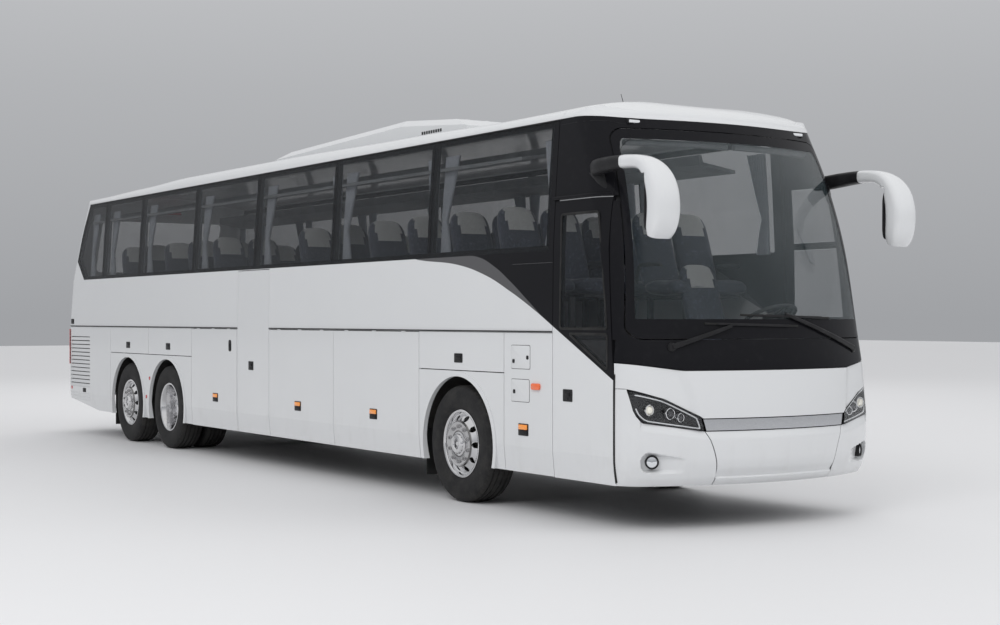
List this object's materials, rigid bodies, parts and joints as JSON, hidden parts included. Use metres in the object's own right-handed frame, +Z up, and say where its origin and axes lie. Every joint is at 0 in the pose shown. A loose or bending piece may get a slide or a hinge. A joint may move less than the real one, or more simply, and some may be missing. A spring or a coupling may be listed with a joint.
{
  "type": "three-axle touring coach",
  "caption": "High-floor touring coach with a swing-out entrance door, a middle door, luggage flaps, a lifting engine lid, steered front wheels and a roof air unit.",
  "frame": {"origin": "on the ground under the middle of the coach", "axes": "+X forward along the coach, +Y to its left, +Z up"},
  "size_m": [14.0157, 2.71, 3.64],
  "materials": {
    "body_paint": "gloss white coachwork paint",
    "black_surround": "gloss black surround",
    "glass": "dark tinted safety glass",
    "rubber": "black rubber",
    "tyre_rubber": "tyre rubber",
    "alloy": "polished forged alloy",
    "chassis_steel": "black chassis paint",
    "engine_iron": "cast iron, painted",
    "floor_covering": "ribbed floor covering",
    "seat_cloth": "woven seat cloth, dark blue grey",
    "cabin_plastic": "grained plastic",
    "lamp_lens": "clear lamp lens",
    "lamp_red": "red lamp lens",
    "mirror_shell": "gloss white shell",
    "bright_trim": "brushed bright strip"
  },
  "bodies": {
    "root": {"bright_strip": "bright_trim", "dashboard": "cabin_plastic", "deck_floor": "floor_covering", "drive_axle": "chassis_steel", "driver_windows": "glass", "engine_block": "engine_iron", "front_axle": "chassis_steel", "front_bumper": "body_paint", "front_lamps": "lamp_lens", "front_mask": "black_surround", "front_panel": "body_paint", "front_platform": "floor_covering", "lower_panels": "body_paint", "luggage_hold": "chassis_steel", "luggage_racks": "cabin_plastic", "mirrors": "mirror_shell", "mudflaps": "rubber", "rear_bumper": "body_paint", "rear_wall": "body_paint", "roof": "body_paint", "roof_air_unit": "body_paint", "seats": "seat_cloth", "side_louvres": "body_paint", "side_wall_left": "body_paint", "side_wall_right": "body_paint", "steering_wheel": "cabin_plastic", "tag_axle": "chassis_steel", "tail_lamps": "lamp_red", "underframe": "chassis_steel", "wheel_housings": "chassis_steel", "windows": "glass", "windscreen": "glass", "wipers": "rubber"},
    "knuckle_right": {"knuckle_right": "chassis_steel"},
    "wheel_front_right": {"tyre_front_right": "tyre_rubber", "rim_front_right": "alloy"},
    "wheel_drive_right": {"tyre_drive_right": "tyre_rubber", "rim_drive_right": "alloy"},
    "wheel_tag_right": {"tyre_tag_right": "tyre_rubber", "rim_tag_right": "alloy"},
    "luggage_flap_front_right": {"luggage_flap_front_right": "body_paint"},
    "luggage_flap_middle_right": {"luggage_flap_middle_right": "body_paint"},
    "luggage_flap_rear_right": {"luggage_flap_rear_right": "body_paint"},
    "knuckle_left": {"knuckle_left": "chassis_steel"},
    "wheel_front_left": {"tyre_front_left": "tyre_rubber", "rim_front_left": "alloy"},
    "wheel_drive_left": {"tyre_drive_left": "tyre_rubber", "rim_drive_left": "alloy"},
    "wheel_tag_left": {"tyre_tag_left": "tyre_rubber", "rim_tag_left": "alloy"},
    "luggage_flap_front_left": {"luggage_flap_front_left": "body_paint"},
    "luggage_flap_middle_left": {"luggage_flap_middle_left": "body_paint"},
    "luggage_flap_rear_left": {"luggage_flap_rear_left": "body_paint"},
    "door_arm": {"door_arm": "chassis_steel"},
    "front_door": {"front_door": "body_paint", "front_door_glass": "glass"},
    "mid_door": {"mid_door": "body_paint"},
    "engine_lid": {"engine_lid": "body_paint"}
  },
  "joints": [
    {"name": "steer_right", "type": "hinge", "parent": "root", "child": "knuckle_right", "pos_m": [4.025, -0.98, 0.518], "axis": [0, 0, 1], "range_deg": [-45, 45]},
    {"name": "steer_left", "type": "hinge", "parent": "root", "child": "knuckle_left", "pos_m": [4.025, 0.98, 0.518], "axis": [0, 0, 1], "range_deg": [-45, 45]},
    {"name": "spin_front_right", "type": "hinge", "parent": "knuckle_right", "child": "wheel_front_right", "pos_m": [4.025, -1.1, 0.518], "axis": [0, 1, 0], "continuous": true},
    {"name": "spin_drive_right", "type": "hinge", "parent": "root", "child": "wheel_drive_right", "pos_m": [-3.025, -1.1, 0.518], "axis": [0, 1, 0], "continuous": true},
    {"name": "spin_tag_right", "type": "hinge", "parent": "root", "child": "wheel_tag_right", "pos_m": [-4.425, -1.1, 0.518], "axis": [0, 1, 0], "continuous": true},
    {"name": "spin_front_left", "type": "hinge", "parent": "knuckle_left", "child": "wheel_front_left", "pos_m": [4.025, 1.1, 0.518], "axis": [0, 1, 0], "continuous": true},
    {"name": "spin_drive_left", "type": "hinge", "parent": "root", "child": "wheel_drive_left", "pos_m": [-3.025, 1.1, 0.518], "axis": [0, 1, 0], "continuous": true},
    {"name": "spin_tag_left", "type": "hinge", "parent": "root", "child": "wheel_tag_left", "pos_m": [-4.425, 1.1, 0.518], "axis": [0, 1, 0], "continuous": true},
    {"name": "door_arm_swing", "type": "hinge", "parent": "root", "child": "door_arm", "pos_m": [6.215, -1.04, 1.4], "axis": [0, 0, 1], "range_deg": [0, 105]},
    {"name": "front_door_turn", "type": "hinge", "parent": "door_arm", "child": "front_door", "pos_m": [5.715, -1.04, 1.4], "axis": [0, 0, 1], "range_deg": [-105, 0]},
    {"name": "mid_door_swing", "type": "hinge", "parent": "root", "child": "mid_door", "pos_m": [-0.795, -1.277, 1.25], "axis": [0, 0, -1], "range_deg": [0, 90]},
    {"name": "lift_front_right", "type": "hinge", "parent": "root", "child": "luggage_flap_front_right", "pos_m": [2.4825, -1.277, 1.508], "axis": [-1, 0, 0], "range_deg": [0, 85]},
    {"name": "lift_middle_right", "type": "hinge", "parent": "root", "child": "luggage_flap_middle_right", "pos_m": [0.8325, -1.277, 1.508], "axis": [-1, 0, 0], "range_deg": [0, 85]},
    {"name": "lift_rear_right", "type": "hinge", "parent": "root", "child": "luggage_flap_rear_right", "pos_m": [-1.5035, -1.277, 1.508], "axis": [-1, 0, 0], "range_deg": [0, 85]},
    {"name": "lift_front_left", "type": "hinge", "parent": "root", "child": "luggage_flap_front_left", "pos_m": [2.4825, 1.277, 1.508], "axis": [1, 0, 0], "range_deg": [0, 85]},
    {"name": "lift_middle_left", "type": "hinge", "parent": "root", "child": "luggage_flap_middle_left", "pos_m": [0.8325, 1.277, 1.508], "axis": [1, 0, 0], "range_deg": [0, 85]},
    {"name": "lift_rear_left", "type": "hinge", "parent": "root", "child": "luggage_flap_rear_left", "pos_m": [-1.5035, 1.277, 1.508], "axis": [1, 0, 0], "range_deg": [0, 85]},
    {"name": "engine_lid_lift", "type": "hinge", "parent": "root", "child": "engine_lid", "pos_m": [-7.002, 0, 1.504], "axis": [0, 1, 0], "range_deg": [0, 75]}
  ],
  "couplings": [
    {"joint": "steer_left", "follows": "steer_right", "ratio": 1},
    {"joint": "front_door_turn", "follows": "door_arm_swing", "ratio": -1}
  ]
}
